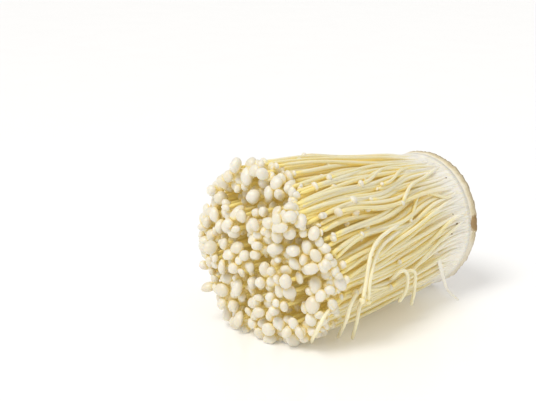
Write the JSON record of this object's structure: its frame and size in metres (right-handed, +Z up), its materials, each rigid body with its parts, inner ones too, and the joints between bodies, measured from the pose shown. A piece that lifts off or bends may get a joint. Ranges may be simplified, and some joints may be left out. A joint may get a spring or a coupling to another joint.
{
  "type": "enoki mushroom bunch",
  "caption": "Bunch of slender pale enoki mushrooms with small round caps, lying on its side, still joined at a cut root foot.",
  "frame": {"origin": "on the surface that the bunch lies on, under the middle of its bounding box", "axes": "+Z up; the stems run along Y, the caps face -Y and the cut foot faces +Y"},
  "size_m": [0.0956, 0.1378, 0.0816],
  "materials": {
    "mushroom_cream": "satin",
    "mycelium_tan": "matte"
  },
  "bodies": {
    "root": {"mushrooms": "mushroom_cream", "root_foot": "mycelium_tan"}
  },
  "joints": []
}
